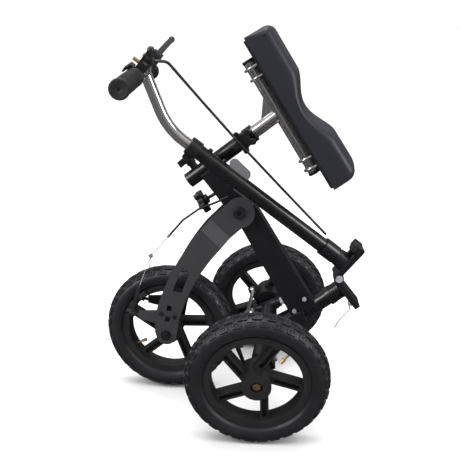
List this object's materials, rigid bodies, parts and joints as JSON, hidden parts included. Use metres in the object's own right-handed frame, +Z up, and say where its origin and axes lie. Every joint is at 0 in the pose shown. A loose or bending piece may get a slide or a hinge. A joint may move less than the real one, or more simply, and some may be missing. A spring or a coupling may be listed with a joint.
{
  "type": "knee scooter",
  "caption": "Folded steerable knee scooter with pneumatic wheels, adjustable knee pad, folding steering column and swinging rear fork.",
  "frame": {"origin": "centre of the bounding box on the ground, under the scooter as it stands folded", "axes": "+X towards the two steered wheels, +Y to the rider's left, +Z up; the ground is z = 0"},
  "size_m": [0.6072, 0.5524, 0.8632],
  "materials": {
    "frame_black": "satin black powder coat",
    "headset_black": "gloss black",
    "bolt_black": "black oxide steel",
    "fork_grey": "satin dark grey powder coat",
    "chrome": "polished chrome",
    "zinc": "bright zinc",
    "yellow_zinc": "yellow zinc plate",
    "brass": "satin brass",
    "rim_black": "moulded matt black",
    "tyre_black": "matt black rubber",
    "bearing_steel": "ground steel",
    "grip_rubber": "ribbed rubber",
    "cable_black": "smooth black sheath",
    "wire_steel": "stranded steel",
    "knob_plastic": "satin black plastic",
    "lever_black": "satin black cast alloy",
    "shoe_rubber": "brake rubber",
    "lug_grey": "textured light grey",
    "board_black": "matt black",
    "pad_vinyl": "satin charcoal moulded polyurethane"
  },
  "bodies": {
    "frame": {"main_frame": "frame_black", "head_tube": "headset_black", "headset_bearing_cups": "headset_black", "seat_tube": "headset_black", "front_axle_beam": "frame_black", "frame_bolts": "zinc", "fork_pivot_bolt": "bolt_black"},
    "seat_knob": {"seat_clamp_knob": "knob_plastic"},
    "lower_knob": {"seat_pin_knob": "knob_plastic"},
    "fork_lock": {"fork_lock_knob": "knob_plastic"},
    "seat": {"seat_post": "chrome", "pad_rail": "chrome", "rail_end_caps": "knob_plastic", "pad_u_bolts": "chrome", "pad_base_board": "board_black", "knee_pad": "pad_vinyl"},
    "rear_fork": {"fork_plate_l": "fork_grey", "fork_plate_r": "fork_grey", "rear_axle": "bolt_black", "fork_screws_and_brake_studs": "bolt_black", "rear_brake_housing": "cable_black", "brake_wire_and_yoke": "wire_steel"},
    "rear_wheel": {"rear_wheel_rim": "rim_black", "rear_wheel_tyre": "tyre_black", "rear_wheel_bearings": "bearing_steel", "rear_wheel_valve": "brass"},
    "brake_arm_l": {"brake_arm_l": "lever_black", "brake_shoe_l": "shoe_rubber"},
    "brake_arm_r": {"brake_arm_r": "lever_black", "brake_shoe_r": "shoe_rubber"},
    "steerer": {"steerer": "frame_black", "hinge_pin": "zinc", "safety_wire": "zinc"},
    "column": {"column_foot": "frame_black", "column_tube": "headset_black", "column_collars": "frame_black", "column_screws_and_latch_pin": "zinc", "column_lug": "lug_grey"},
    "fold_latch": {"fold_latch": "frame_black"},
    "stem": {"handlebar": "chrome", "grip_l": "grip_rubber", "grip_r": "grip_rubber", "lever_brackets": "lever_black", "cable_adjusters_and_pins": "brass", "brake_cables": "cable_black"},
    "brake_lever_l": {"brake_lever_l": "lever_black"},
    "brake_lever_r": {"brake_lever_r": "lever_black"},
    "knuckle_l": {"knuckle_l": "frame_black", "front_axle_bolt_l": "yellow_zinc"},
    "knuckle_r": {"knuckle_r": "frame_black", "front_axle_bolt_r": "yellow_zinc"},
    "front_wheel_l": {"front_wheel_l_rim": "rim_black", "front_wheel_l_tyre": "tyre_black", "front_wheel_l_bearings": "bearing_steel", "front_wheel_l_valve": "brass"},
    "front_wheel_r": {"front_wheel_r_rim": "rim_black", "front_wheel_r_tyre": "tyre_black", "front_wheel_r_bearings": "bearing_steel", "front_wheel_r_valve": "brass"},
    "tie_rod": {"tie_rod": "chrome"}
  },
  "joints": [
    {"name": "steering", "type": "hinge", "parent": "frame", "child": "steerer", "pos_m": [0.24242, 0.01652, 0.26695], "axis": [0.788, 0.0205, 0.6153], "range_deg": [0, 20]},
    {"name": "column_fold", "type": "hinge", "parent": "steerer", "child": "column", "pos_m": [0.24831, 0.01346, 0.31315], "axis": [-0.0857, 0.9934, 0.0767], "range_deg": [0, 6]},
    {"name": "latch_swing", "type": "hinge", "parent": "column", "child": "fold_latch", "pos_m": [0.28593, 0.01124, 0.3839], "axis": [-0.0857, 0.9934, 0.0767], "range_deg": [0, 40]},
    {"name": "bar_height", "type": "slide", "parent": "column", "child": "stem", "axis": [-0.7865, -0.1147, 0.6069], "range_m": [-0.01, 0.06]},
    {"name": "brake_lever_l_pull", "type": "hinge", "parent": "stem", "child": "brake_lever_l", "pos_m": [-0.16861, 0.02119, 0.79704], "axis": [-0.7915, -0.0731, 0.6068], "range_deg": [0, 18], "stiffness_Nm_per_rad": 0.4, "springref_deg": -11.46},
    {"name": "brake_lever_r_pull", "type": "hinge", "parent": "stem", "child": "brake_lever_r", "pos_m": [-0.15373, -0.12314, 0.79904], "axis": [0.7915, 0.0731, -0.6068], "range_deg": [0, 18], "stiffness_Nm_per_rad": 0.4, "springref_deg": -11.46},
    {"name": "knuckle_l_turn", "type": "hinge", "parent": "frame", "child": "knuckle_l", "pos_m": [0.07842, 0.17469, 0.14913], "axis": [0.8988, 0.0146, 0.4381], "range_deg": [0, 20]},
    {"name": "knuckle_r_turn", "type": "hinge", "parent": "frame", "child": "knuckle_r", "pos_m": [0.07842, -0.14913, 0.1599], "axis": [0.8988, 0.0146, 0.4381], "range_deg": [0, 20]},
    {"name": "front_wheel_l_spin", "type": "hinge", "parent": "knuckle_l", "child": "front_wheel_l", "pos_m": [0.07485, 0.23283, 0.15452], "axis": [-0.061, 0.9939, 0.0921], "continuous": true},
    {"name": "front_wheel_r_spin", "type": "hinge", "parent": "knuckle_r", "child": "front_wheel_r", "pos_m": [0.08199, -0.20727, 0.15451], "axis": [-0.061, 0.9939, 0.0921], "continuous": true},
    {"name": "tie_rod_swing", "type": "hinge", "parent": "knuckle_l", "child": "tie_rod", "pos_m": [0.03925, 0.1679, 0.19639], "axis": [0.8988, 0.0146, 0.4381], "range_deg": [-20, 0]},
    {"name": "rear_fork_fold", "type": "hinge", "parent": "frame", "child": "rear_fork", "pos_m": [0.01942, 0.02279, 0.45585], "axis": [0, 0.9994, -0.0332], "range_deg": [0, 60]},
    {"name": "rear_wheel_spin", "type": "hinge", "parent": "rear_fork", "child": "rear_wheel", "pos_m": [-0.14858, 0.0128, 0.15502], "axis": [0, 0.9994, -0.0332], "continuous": true},
    {"name": "brake_arm_l_close", "type": "hinge", "parent": "rear_fork", "child": "brake_arm_l", "pos_m": [-0.23058, 0.06443, 0.20333], "axis": [-0.9648, 0.0087, 0.2628], "range_deg": [0, 3]},
    {"name": "brake_arm_r_close", "type": "hinge", "parent": "rear_fork", "child": "brake_arm_r", "pos_m": [-0.23058, -0.03552, 0.20665], "axis": [0.9648, -0.0087, -0.2628], "range_deg": [0, 3]},
    {"name": "seat_height", "type": "slide", "parent": "frame", "child": "seat", "axis": [0.788, 0.0205, 0.6153], "range_m": [-0.02, 0.08]},
    {"name": "seat_clamp_turn", "type": "hinge", "parent": "frame", "child": "seat_knob", "pos_m": [0.02608, -0.00576, 0.62023], "axis": [0, -0.9994, 0.0332], "range_deg": [-90, 90]},
    {"name": "seat_pin_turn", "type": "hinge", "parent": "frame", "child": "lower_knob", "pos_m": [-0.09887, 0.02641, 0.56465], "axis": [-0.6157, 0.0262, 0.7876], "range_deg": [-90, 90]},
    {"name": "fork_lock_turn", "type": "hinge", "parent": "frame", "child": "fork_lock", "pos_m": [-0.06458, 0.02346, 0.47584], "axis": [-0.8387, -0.0181, -0.5443], "range_deg": [-90, 90]}
  ],
  "couplings": [
    {"joint": "knuckle_l_turn", "follows": "steering", "ratio": 1},
    {"joint": "knuckle_r_turn", "follows": "steering", "ratio": 1},
    {"joint": "tie_rod_swing", "follows": "steering", "ratio": -1},
    {"joint": "brake_arm_l_close", "follows": "brake_lever_r_pull", "ratio": 0.1667},
    {"joint": "brake_arm_r_close", "follows": "brake_lever_r_pull", "ratio": 0.1667}
  ]
}
